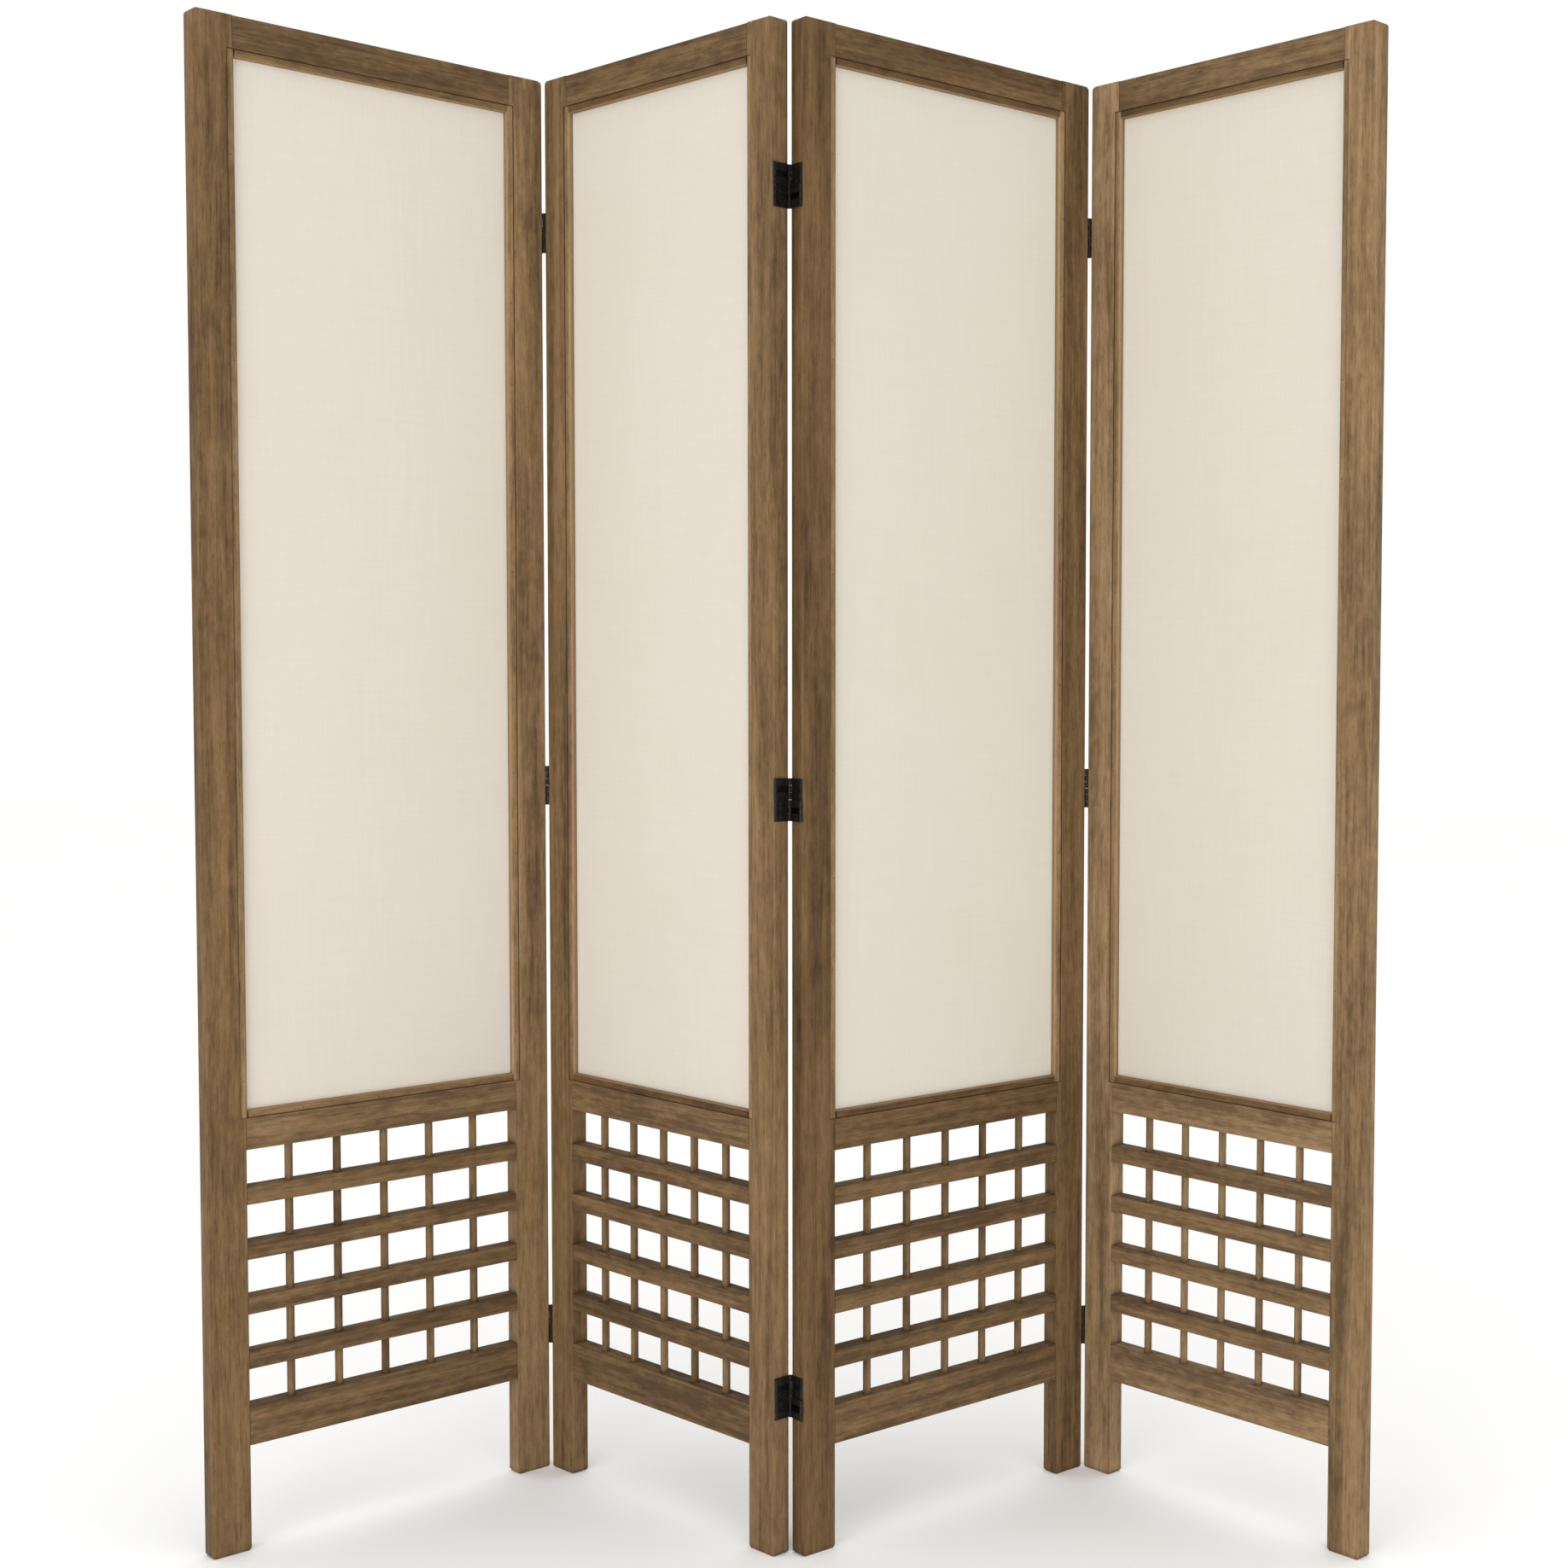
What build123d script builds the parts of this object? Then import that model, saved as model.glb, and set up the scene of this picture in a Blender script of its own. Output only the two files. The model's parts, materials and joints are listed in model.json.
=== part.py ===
from build123d import *
import math
import os

# One panel, seen from its front: width, thickness and height in millimetres
panel_height = 1790.0
panel_width = 445.0
panel_thickness = 22.0

# How the four panels stand: the turn of each about the vertical, in degrees
panel_turns = (44.6, -41.2, 42.9, -42.8)
# The face that each fold closes on: front pins carry a valley, back pins a ridge
fold_faces = ("front", "back", "front")

# Frame members
stile_width = 46.5
top_rail_height = 44.0
mid_rail_height = 44.0
bottom_rail_height = 46.5
foot_height = 125.5
mid_rail_bottom = 478.0
eased_edge = 1.8
crown_corner = 7.0
foot_corner = 5.0
foot_chamfer = 3.0

# Mortise and tenon joints between rails and stiles
tenon_thickness = 8.0
tenon_length = 30.0
tenon_shoulder = 10.0
mortise_end_clearance = 1.0

# Lattice below the middle rail
slat_count = 4
slat_height = 20.6
slat_tenon_length = 12.0
slat_tenon_height = 12.0
rod_count = 5
rod_diameter = 9.6
rod_seat_depth = 8.0
rod_clearance = 0.1
rod_end_clearance = 0.3

# Fabric, and the pinned bead that holds it in the front rabbet
rabbet_width = 6.5
rabbet_depth = 9.0
bead_overhang = 3.0
bead_recess = 1.0
bead_nose = 3.0
bead_joint_gap = 0.3
bead_clearance = 0.1
fabric_thickness = 0.6
fabric_clearance = 0.2
fabric_edge_clearance = 0.5

# Double-action hinges: crossed links between two leaves in the gap
panel_gap = 4.4
hinge_height = 50.0
top_hinge_inset = 190.0
bottom_hinge_inset = 188.5
leaf_thickness = 1.0
leaf_setback = 2.4
link_thickness = 1.0
link_relief = 0.6
half_gap = 0.4
barrel_diameter = 3.8
pin_diameter = 1.6
pin_clearance = 0.05
knuckle_gap = 0.3
# Knuckle rows of a hinge half, counted from below, that the leaf and the link take
leaf_rows = (0, 2)
link_rows = (1,)

# Sides of what is small and many: hinge barrels, pins and bores, then lattice rods
small_sides = 8
rod_sides = 12

overrun = 1.0

# Sizes that follow
opening_width = panel_width - 2 * stile_width
top_rail_bottom = panel_height - top_rail_height
mid_rail_top = mid_rail_bottom + mid_rail_height
bottom_rail_top = foot_height + bottom_rail_height
middle_depth = panel_thickness / 2
bead_width = rabbet_width - bead_clearance + bead_overhang
fabric_back = rabbet_depth - fabric_clearance
fabric_front = fabric_back - fabric_thickness
bead_back = fabric_front - fabric_clearance
bead_thickness = bead_back - bead_recess
rod_radius = rod_diameter / 2
rod_spacing = (opening_width + rod_diameter) / (rod_count + 1)
barrel_radius = barrel_diameter / 2
pin_radius = pin_diameter / 2
bore_radius = pin_radius + pin_clearance
half_height = (hinge_height - half_gap) / 2
knuckle_height = (half_height - 2 * knuckle_gap) / 3


def block(x0, x1, y0, y1, z0, z1):
    """A plain block between two corners."""
    solid = Box(x1 - x0, y1 - y0, z1 - z0, align=(Align.MIN, Align.MIN, Align.MIN))
    return Pos(x0, y0, z0) * solid


def upright(radius, x, y, z0, z1):
    """A vertical cylinder from z0 up to z1."""
    solid = Cylinder(radius, z1 - z0, align=(Align.CENTER, Align.CENTER, Align.MIN))
    return Pos(x, y, z0) * solid


def barrel(radius, y, z0, z1):
    """A pin or a knuckle on the hinge's middle plane, its corners at the radius."""
    return Pos(0, y, z0) * extrude(RegularPolygon(radius, small_sides), z1 - z0)


def bore(radius, x, y, z0, z1):
    """A bore whose flats touch a round of the radius."""
    outline = RegularPolygon(radius, small_sides, major_radius=False)
    return Pos(x, y, z0) * extrude(outline, z1 - z0)


def rail_tenon(x0, x1, z0, z1):
    """The tenon of a rail that spans z0 to z1, and the mortise that takes it."""
    near = middle_depth - tenon_thickness / 2
    far = middle_depth + tenon_thickness / 2
    return block(x0, x1, near, far, z0 + tenon_shoulder, z1 - tenon_shoulder)


def slat_tenon(x0, x1, z0):
    """The stub tenon of a lattice slat whose lower face is at z0."""
    near = middle_depth - tenon_thickness / 2
    far = middle_depth + tenon_thickness / 2
    rise = (slat_height - slat_tenon_height) / 2
    return block(x0, x1, near, far, z0 + rise, z0 + rise + slat_tenon_height)


def slat_bottoms():
    """Lower faces of the slats, which leave equal cells between the two rails."""
    clear = mid_rail_bottom - bottom_rail_top - slat_count * slat_height
    cell = clear / (slat_count + 1)
    return [bottom_rail_top + cell + k * (cell + slat_height) for k in range(slat_count)]


def rod_places():
    """Centres of the rods across the panel, with equal gaps between them."""
    first = stile_width + rod_spacing - rod_radius
    return [first + k * rod_spacing for k in range(rod_count)]


def hinge_heights():
    """Centre heights of the three hinges of a fold."""
    top = panel_height - top_hinge_inset
    return [bottom_hinge_inset, (top + bottom_hinge_inset) / 2, top]


def stile_stock():
    """Plain stock for a left stile, its outer edges eased along their length."""
    stock = block(0, stile_width, 0, panel_thickness, 0, panel_height)
    return fillet(stock.edges().filter_by(Axis.Z).group_by(Axis.X)[0], eased_edge)


def stile_blank():
    """A left stile with its rounded crown and its worn foot, cut from eased stock."""
    body = block(0, stile_width, 0, panel_thickness, 0, panel_height)
    crown = body.edges().filter_by(Axis.Y).group_by(Axis.Z)[-1].sort_by(Axis.X)[0]
    body = fillet(crown, crown_corner)
    foot_out = body.edges().filter_by(Axis.Y).group_by(Axis.Z)[0].sort_by(Axis.X)[0]
    body = fillet(foot_out, foot_corner)
    foot_in = body.edges().filter_by(Axis.Y).group_by(Axis.Z)[0].sort_by(Axis.X)[-1]
    return chamfer(foot_in, foot_chamfer) & stile_stock()


def stile_cuts():
    """The rabbet and the mortises of a left stile, as one tool."""
    inner = stile_width + overrun
    tool = block(
        stile_width - rabbet_width, inner, -overrun, rabbet_depth,
        mid_rail_top - rabbet_width, top_rail_bottom + rabbet_width,
    )
    reach = stile_width - tenon_length - mortise_end_clearance
    tool += rail_tenon(reach, inner, top_rail_bottom, panel_height)
    tool += rail_tenon(reach, inner, mid_rail_bottom, mid_rail_top)
    tool += rail_tenon(reach, inner, foot_height, bottom_rail_top)
    reach = stile_width - slat_tenon_length - mortise_end_clearance
    for z in slat_bottoms():
        tool += slat_tenon(reach, inner, z)
    return tool


def left_stile():
    """A left stile with its joints and its rabbet."""
    return stile_blank() - stile_cuts()


def right_stile():
    """The left stile's mirror image, moved to the right side."""
    return Pos(panel_width, 0, 0) * mirror(left_stile(), about=Plane.YZ)


def rail_blank(z0, z1):
    """A rail between the stiles, with a tenon at each end."""
    left, right = stile_width, panel_width - stile_width
    body = block(left, right, 0, panel_thickness, z0, z1)
    return body + rail_tenon(left - tenon_length, right + tenon_length, z0, z1)


def rod_seats(z0, z1):
    """The round seats that take the rods, between two heights."""
    tool = None
    for x in rod_places():
        hole = bore(rod_radius + rod_clearance, x, middle_depth, z0, z1)
        tool = hole if tool is None else tool + hole
    return tool


def top_rail():
    """The top rail, rabbeted below and eased along its top."""
    body = block(
        stile_width, panel_width - stile_width, 0, panel_thickness,
        top_rail_bottom, panel_height,
    )
    top = body.edges().filter_by(Axis.X).group_by(Axis.Z)[-1]
    body = fillet(top, eased_edge)
    left, right = stile_width - tenon_length, panel_width - stile_width + tenon_length
    body += rail_tenon(left, right, top_rail_bottom, panel_height)
    return body - block(
        stile_width - overrun, panel_width - stile_width + overrun, -overrun,
        rabbet_depth, top_rail_bottom - overrun, top_rail_bottom + rabbet_width,
    )


def mid_rail():
    """The middle rail: rabbet above for the fabric, rod seats below."""
    body = rail_blank(mid_rail_bottom, mid_rail_top)
    body -= block(
        stile_width - overrun, panel_width - stile_width + overrun, -overrun,
        rabbet_depth, mid_rail_top - rabbet_width, mid_rail_top + overrun,
    )
    seat = rod_seat_depth + rod_end_clearance
    return body - rod_seats(mid_rail_bottom - overrun, mid_rail_bottom + seat)


def bottom_rail():
    """The bottom rail, with rod seats in its top."""
    seat = rod_seat_depth + rod_end_clearance
    body = rail_blank(foot_height, bottom_rail_top)
    return body - rod_seats(bottom_rail_top - seat, bottom_rail_top + overrun)


def lattice_slats():
    """The horizontal slats, bored for the rods and stub-tenoned in the stiles."""
    left, right = stile_width, panel_width - stile_width
    slats = []
    for z in slat_bottoms():
        body = block(left, right, 0, panel_thickness, z, z + slat_height)
        body += slat_tenon(left - slat_tenon_length, right + slat_tenon_length, z)
        slats.append(body - rod_seats(z - overrun, z + slat_height + overrun))
    return slats


def lattice_rods():
    """The round rods, each in one length from the bottom rail to the middle rail."""
    low, high = bottom_rail_top - rod_seat_depth, mid_rail_bottom + rod_seat_depth
    rod = extrude(RegularPolygon(rod_radius, rod_sides), high - low)
    return [Pos(x, middle_depth, low) * rod for x in rod_places()]


def fabric():
    """The stretched sheet, which lies against the shelf of the rabbet."""
    side = stile_width - rabbet_width + fabric_edge_clearance
    low = mid_rail_top - rabbet_width + fabric_edge_clearance
    high = top_rail_bottom + rabbet_width - fabric_edge_clearance
    return block(side, panel_width - side, fabric_front, fabric_back, low, high)


def bead_length(length):
    """A bead of a given length that stands on end, its rounded nose at +X."""
    body = block(0, bead_width, bead_recess, bead_back, 0, length)
    front = body.edges().filter_by(Axis.Z).group_by(Axis.Y)[0]
    return fillet(front.sort_by(Axis.X)[-1], bead_nose)


def bead_strips():
    """Two upright beads over the full rabbet and two level ones between them."""
    left = stile_width - rabbet_width + bead_clearance
    low = mid_rail_top - rabbet_width + bead_clearance
    high = top_rail_bottom + rabbet_width - bead_clearance
    upright_bead = bead_length(high - low)
    level_bead = bead_length(panel_width - 2 * (left + bead_width + bead_joint_gap))
    start = left + bead_width + bead_joint_gap
    return [
        Pos(left, 0, low) * upright_bead,
        Pos(panel_width - left, 0, low) * mirror(upright_bead, about=Plane.YZ),
        Pos(start, 0, high) * Rot(0, 90, 0) * level_bead,
        Pos(panel_width - start, 0, low) * Rot(0, -90, 0) * level_bead,
    ]


def knuckles(y, z, rows):
    """The knuckles of some of the three rows of a half, round the pin at y."""
    step = knuckle_height + knuckle_gap
    tubes = None
    for row in rows:
        low = z + row * step
        tube = barrel(barrel_radius, y, low, low + knuckle_height)
        tubes = tube if tubes is None else tubes + tube
    return tubes


def knuckle_notch(y, z):
    """Room in the leaf for the link's knuckle, round the pin at y."""
    start = z + knuckle_height
    top = start + knuckle_height + 2 * knuckle_gap
    return upright(barrel_radius + knuckle_gap, 0, y, start, top)


def leaf():
    """The left leaf and its pins: upper knuckles in front, lower ones behind."""
    outer = -panel_gap / 2
    inner = outer + leaf_thickness
    back = panel_thickness
    lower, upper = half_starts()
    top = upper + half_height
    body = block(outer, inner, 0, back - leaf_setback, upper, top)
    body += block(outer, inner, leaf_setback, back, lower, lower + half_height)
    body += block(outer, inner, leaf_setback, back - leaf_setback, lower, top)
    for y, z in ((0, upper), (back, lower)):
        body += knuckles(y, z, leaf_rows)
        body -= knuckle_notch(y, z)
        body += barrel(pin_radius, y, z, z + half_height)
    return body


def link(z):
    """One crossed link of a half that starts at z: a plate with a knuckle each end."""
    clear = barrel_radius + link_relief
    half = link_thickness / 2
    low = z + knuckle_height + knuckle_gap
    body = block(-half, half, clear, panel_thickness - clear, z, z + half_height)
    body += block(-half, half, 0, panel_thickness, low, low + knuckle_height)
    for y in (0, panel_thickness):
        body += knuckles(y, z, link_rows)
        body -= bore(bore_radius, 0, y, z, z + half_height)
    return body


def half_starts():
    """Lower ends of the two halves about the hinge centre: lower, then upper."""
    return -hinge_height / 2, half_gap / 2


def at_each_hinge(piece, x):
    """Copies of a piece at the three hinges of a fold, with the pins at x."""
    return [Pos(x, 0, z) * piece for z in hinge_heights()]


def right_leaf():
    """The right leaf: the left one, turned half round the hinge centre."""
    return Pos(0, panel_thickness, 0) * Rot(0, 0, 180) * leaf()


def turned(x, y, angle):
    """A point turned about the vertical."""
    c, s = math.cos(math.radians(angle)), math.sin(math.radians(angle))
    return x * c - y * s, x * s + y * c


def walk():
    """Front left corners of the panels and pin axes of the folds, from the left."""
    corner = (0.0, 0.0)
    corners, axes = [corner], []
    for face, turn, following in zip(fold_faces, panel_turns, panel_turns[1:]):
        depth = 0.0 if face == "front" else panel_thickness
        out = turned(panel_width + panel_gap / 2, depth, turn)
        axis = (corner[0] + out[0], corner[1] + out[1])
        back = turned(-panel_gap / 2, depth, following)
        corner = (axis[0] - back[0], axis[1] - back[1])
        corners.append(corner)
        axes.append(axis)
    return corners, axes


def centred():
    """The same places, with the middle of the screen's outline at the origin."""
    corners, axes = walk()
    xs, ys = [], []
    for (x, y), turn in zip(corners, panel_turns):
        for across in (0.0, panel_width):
            for depth in (0.0, panel_thickness):
                dx, dy = turned(across, depth, turn)
                xs.append(x + dx)
                ys.append(y + dy)
    mx, my = (min(xs) + max(xs)) / 2, (min(ys) + max(ys)) / 2
    corners = [(x - mx, y - my) for x, y in corners]
    return corners, [(x - mx, y - my) for x, y in axes]


def placed(place, pieces):
    """One node: its pieces, each put in its place."""
    return Compound(children=[place * piece for piece in pieces])


def panel_nodes(number, place):
    """Every piece of one panel, in its place."""
    groups = {
        "left_stile": [left_stile()],
        "right_stile": [right_stile()],
        "top_rail": [top_rail()],
        "mid_rail": [mid_rail()],
        "bottom_rail": [bottom_rail()],
        "lattice_slats": lattice_slats(),
        "lattice_rods": lattice_rods(),
        "fabric": [fabric()],
        "bead_strips": bead_strips(),
    }
    return {f"panel_{number}_{name}": placed(place, group) for name, group in groups.items()}


def fold_nodes(number, left_place, right_place):
    """The hinge pieces of one fold; each link lies along the panel it stays with."""
    left = (left_place, panel_width + panel_gap / 2)
    right = (right_place, -panel_gap / 2)
    lower, upper = half_starts()
    on_front = fold_faces[number - 1] == "front"
    groups = {
        "left_leaves": (leaf(), left),
        "right_leaves": (right_leaf(), right),
        "upper_links": (link(upper), right if on_front else left),
        "lower_links": (link(lower), left if on_front else right),
    }
    nodes = {}
    for name, (piece, (place, x)) in groups.items():
        nodes[f"fold_{number}_{name}"] = placed(place, at_each_hinge(piece, x))
    return nodes


def build():
    """All nodes of the screen."""
    corners, _ = centred()
    places = [
        Pos(x, y, 0) * Rot(0, 0, turn) for (x, y), turn in zip(corners, panel_turns)
    ]
    nodes = {}
    for number, place in enumerate(places, start=1):
        nodes.update(panel_nodes(number, place))
    for number in range(1, len(places)):
        nodes.update(fold_nodes(number, places[number - 1], places[number]))
    return nodes


def main():
    """Write one STEP file for each node."""
    os.makedirs("parts", exist_ok=True)
    for name, shape in build().items():
        export_step(shape, f"parts/{name}.step")


main()
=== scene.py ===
import json
import math
import random
from itertools import product

import bmesh
import bpy
from mathutils import Matrix, Vector, noise


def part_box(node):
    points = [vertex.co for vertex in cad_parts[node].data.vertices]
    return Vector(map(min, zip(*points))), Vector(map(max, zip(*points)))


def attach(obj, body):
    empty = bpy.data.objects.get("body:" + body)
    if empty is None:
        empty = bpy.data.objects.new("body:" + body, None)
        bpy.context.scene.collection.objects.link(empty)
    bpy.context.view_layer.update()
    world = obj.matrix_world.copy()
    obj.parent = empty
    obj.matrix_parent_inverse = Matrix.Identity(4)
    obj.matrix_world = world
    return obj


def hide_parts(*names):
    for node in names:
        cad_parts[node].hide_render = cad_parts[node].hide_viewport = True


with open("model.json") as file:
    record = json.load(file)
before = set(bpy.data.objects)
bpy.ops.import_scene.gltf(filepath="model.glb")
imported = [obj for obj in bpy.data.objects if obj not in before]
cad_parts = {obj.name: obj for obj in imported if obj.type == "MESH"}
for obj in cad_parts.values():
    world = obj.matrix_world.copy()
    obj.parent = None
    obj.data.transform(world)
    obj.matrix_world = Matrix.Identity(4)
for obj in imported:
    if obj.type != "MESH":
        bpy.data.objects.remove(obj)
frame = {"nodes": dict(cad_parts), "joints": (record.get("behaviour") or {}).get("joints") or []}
for start_object in ("Cube", "Light", "Camera"):
    if start_object in bpy.data.objects:
        bpy.data.objects.remove(bpy.data.objects[start_object])
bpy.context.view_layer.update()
nodes = frame["nodes"]

MM = 0.001

# The turns of the panels in degrees, and the screen's sizes in metres, as the frame holds them
PANEL_TURNS = (44.6, -41.2, 42.9, -42.8)
FOLD_FACES = ("front", "back", "front")
PANEL_WIDTH = 445.0 * MM
PANEL_DEPTH = 22.0 * MM
STILE = 46.5 * MM
OPENING_LOW = 522.0 * MM
OPENING_HIGH = 1746.0 * MM
RABBET = 6.5 * MM
BEAD_FACE = 1.0 * MM
BEAD_WIDTH = 9.4 * MM
BEAD_BACK = 8.0 * MM
BEAD_CLEARANCE = 0.1 * MM
BEAD_JOINT = 0.3 * MM
BEAD_ARRIS = 1.3 * MM
BEAD_NOSE = 3.4 * MM
FABRIC_FRONT = 8.2 * MM
FABRIC_BACK = 8.8 * MM
FABRIC_INSET = 0.5 * MM
ROD_RADIUS = 4.8 * MM
ROD_LOW = 164.0 * MM
ROD_HIGH = 486.0 * MM
ROD_COUNT = 5

# Hinges
PANEL_GAP = 4.4 * MM
HINGE_CENTRES = (188.5 * MM, 894.25 * MM, 1600.0 * MM)
HINGE_HEIGHT = 50.0 * MM
HALF_GAP = 0.4 * MM
LEAF_THICKNESS = 1.0 * MM
LIP_THICKNESS = 0.6 * MM
EASED_EDGE = 1.8 * MM
LINK_THICKNESS = 1.0 * MM
LINK_RELIEF = 0.15 * MM
BARREL_RADIUS = 1.9 * MM
PIN_RADIUS = 0.8 * MM
KNUCKLE_GAP = 0.3 * MM
KNUCKLE_EASE = 0.2 * MM
SCREW_PITCH = 12.0 * MM
SCREW_ROWS = 4
SCREW_HEAD = 2.6 * MM
SCREW_DOME = 0.35 * MM

# The camera, fitted to the photograph
CAMERA_FROM_FOLD_2 = Vector((0.35713, -2.54334, 1.04666))
CAMERA_PITCH = math.radians(-2.872)
CAMERA_ROLL = math.radians(-0.361)
FOCAL_PIXELS = 2561.16
IMAGE_PIXELS = 1837.0
CENTRE_PIXEL_X = 1284.52
CENTRE_PIXEL_Y = 914.19
SENSOR = 36.0


# Small helpers


# The curve between screen values and linear light
SCREEN_WHITE = 255
SCREEN_TOE = 0.04045
SCREEN_TOE_SLOPE = 12.92
SCREEN_LIFT = 0.055
SCREEN_GAMMA = 2.4


def linear(red, green, blue):
    """A linear colour from screen values of 0 to 255."""
    def channel(value):
        value /= SCREEN_WHITE
        if value <= SCREEN_TOE:
            return value / SCREEN_TOE_SLOPE
        return ((value + SCREEN_LIFT) / (1 + SCREEN_LIFT)) ** SCREEN_GAMMA
    return (channel(red), channel(green), channel(blue), 1.0)


def panel_centre(number):
    """The middle of a panel in plan, from its bottom rail."""
    low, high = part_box(f"panel_{number}_bottom_rail")
    return Vector(((low[0] + high[0]) / 2, (low[1] + high[1]) / 2, 0))


def panel_matrix(number):
    """Panel space: x across from the middle, y back from the front face, z up."""
    turn = Matrix.Rotation(math.radians(PANEL_TURNS[number - 1]), 4, "Z")
    front = Matrix.Translation((0, -PANEL_DEPTH / 2, 0))
    return Matrix.Translation(panel_centre(number)) @ turn @ front


def new_piece(name, bm, material, body, smooth=False):
    """An object from a bmesh, riding on a body."""
    mesh = bpy.data.meshes.new(name)
    bmesh.ops.recalc_face_normals(bm, faces=bm.faces)
    for face in bm.faces:
        face.smooth = smooth
    bm.to_mesh(mesh)
    bm.free()
    piece = bpy.data.objects.new(name, mesh)
    bpy.context.scene.collection.objects.link(piece)
    piece.data.materials.append(material)
    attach(piece, body)
    return piece


SMOOTH_ANGLE = math.radians(35)


def smooth_by_angle(piece):
    """Round faces look smooth and corners stay crisp."""
    mesh = piece.data
    mesh.set_sharp_from_angle(angle=SMOOTH_ANGLE)
    for polygon in mesh.polygons:
        polygon.use_smooth = True


def ring_faces(bm, first, second):
    """Faces between two closed loops of points."""
    for k in range(len(first)):
        after = (k + 1) % len(first)
        bm.faces.new((first[k], first[after], second[after], second[k]))


def prism(bm, outline, low, high, place=Matrix.Identity(4)):
    """A straight form with one outline from low to high; gives back its points."""
    ends = [[bm.verts.new(place @ Vector((x, y, z))) for x, y in outline] for z in (low, high)]
    for end in ends:
        bm.faces.new(end)
    ring_faces(bm, *ends)
    return [vert for end in ends for vert in end]


def turned_form(bm, x, y, profile, sides):
    """A round form about an upright line: profile holds radius and height pairs."""
    last = None
    for radius, z in profile:
        loop = []
        for side in range(sides):
            angle = 2 * math.pi * side / sides
            loop.append(bm.verts.new((x + radius * math.cos(angle), y + radius * math.sin(angle), z)))
        if last:
            ring_faces(bm, last, loop)
        else:
            bm.faces.new(loop)
        last = loop
    bm.faces.new(last)


# Node helpers


def shader(name):
    """A new node material: the material, its node tree and its surface shader."""
    material = bpy.data.materials.new(name)
    material.use_nodes = True
    tree = material.node_tree
    return material, tree, tree.nodes["Principled BSDF"]


def add(tree, kind, **settings):
    """A new node with its settings."""
    node = tree.nodes.new(kind)
    for key, value in settings.items():
        setattr(node, key, value)
    return node


def join(tree, source, target):
    """A link between two sockets."""
    tree.links.new(source, target)


# Where a mix node keeps its two vectors and two colours, and their results
VECTOR_INPUTS = (4, 5)
VECTOR_OUTPUT = 1
COLOUR_INPUTS = (6, 7)
COLOUR_OUTPUT = 2


def vector_math(tree, operation, first, second):
    """A vector sum or product; the second may be a constant."""
    node = add(tree, "ShaderNodeVectorMath", operation=operation)
    join(tree, first, node.inputs[0])
    if isinstance(second, tuple):
        node.inputs[1].default_value = second
    else:
        join(tree, second, node.inputs[1])
    return node.outputs[0]


def scalar(tree, operation, first, second=0.0, third=0.0):
    """A number worked out from sockets or constants."""
    node = add(tree, "ShaderNodeMath", operation=operation)
    for socket, value in zip(node.inputs, (first, second, third)):
        if isinstance(value, (int, float)):
            socket.default_value = value
        else:
            join(tree, value, socket)
    return node.outputs[0]


def noise_value(tree, place, scale, detail, rough=0.5, twist=0.0):
    """A noise between 0 and 1 at a place."""
    node = add(tree, "ShaderNodeTexNoise")
    node.inputs["Scale"].default_value = scale
    node.inputs["Detail"].default_value = detail
    node.inputs["Roughness"].default_value = rough
    node.inputs["Distortion"].default_value = twist
    join(tree, place, node.inputs["Vector"])
    return node.outputs["Fac"]


def ramp(tree, value, *stops):
    """A colour ramp with stops of position and colour."""
    node = add(tree, "ShaderNodeValToRGB")
    elements = node.color_ramp.elements
    while len(elements) < len(stops):
        elements.new(0.5)
    for element, (position, colour) in zip(elements, stops):
        element.position = position
        element.color = colour
    join(tree, value, node.inputs["Fac"])
    return node.outputs["Color"]


def remap(tree, value, low, high, out_low, out_high):
    """A number moved smoothly from one range to another."""
    node = add(tree, "ShaderNodeMapRange", interpolation_type="SMOOTHSTEP")
    for socket, number in zip(node.inputs[1:5], (low, high, out_low, out_high)):
        socket.default_value = number
    join(tree, value, node.inputs["Value"])
    return node.outputs["Result"]


def blend_colour(tree, mode, factor, first, second):
    """Two colours mixed; factor and colours may be sockets or constants."""
    node = add(tree, "ShaderNodeMix", data_type="RGBA", blend_type=mode)
    for index, value in zip((0, *COLOUR_INPUTS), (factor, first, second)):
        socket = node.inputs[index]
        if isinstance(value, (int, float, tuple)):
            socket.default_value = value
        else:
            join(tree, value, socket)
    return node.outputs[COLOUR_OUTPUT]


def bump(tree, height, strength, distance, normal=None):
    """A bumped normal from a height."""
    node = add(tree, "ShaderNodeBump")
    node.inputs["Strength"].default_value = strength
    node.inputs["Distance"].default_value = distance
    join(tree, height, node.inputs["Height"])
    if normal is not None:
        join(tree, normal, node.inputs["Normal"])
    return node.outputs["Normal"]


BEVEL_SAMPLES = 6
FLAT_COSINE = 0.995
SHARP_COSINE = 0.80


def worn_edge(tree, radius):
    """A rounded normal, and how near a sharp edge the surface is, from 0 to 1."""
    soft = add(tree, "ShaderNodeBevel", samples=BEVEL_SAMPLES)
    soft.inputs["Radius"].default_value = radius
    plain = add(tree, "ShaderNodeNewGeometry")
    dot = add(tree, "ShaderNodeVectorMath", operation="DOT_PRODUCT")
    join(tree, soft.outputs["Normal"], dot.inputs[0])
    join(tree, plain.outputs["Normal"], dot.inputs[1])
    sharpness = remap(tree, dot.outputs["Value"], FLAT_COSINE, SHARP_COSINE, 0.0, 1.0)
    return soft.outputs["Normal"], sharpness


# Materials

WOOD_DARK = linear(80, 60, 37)
WOOD_MID = linear(117, 91, 59)
WOOD_LIGHT = linear(138, 110, 76)
WOOD_PORE = linear(57, 41, 25)
WOOD_NOSE_HIGHLIGHT = linear(176, 146, 110)

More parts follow.
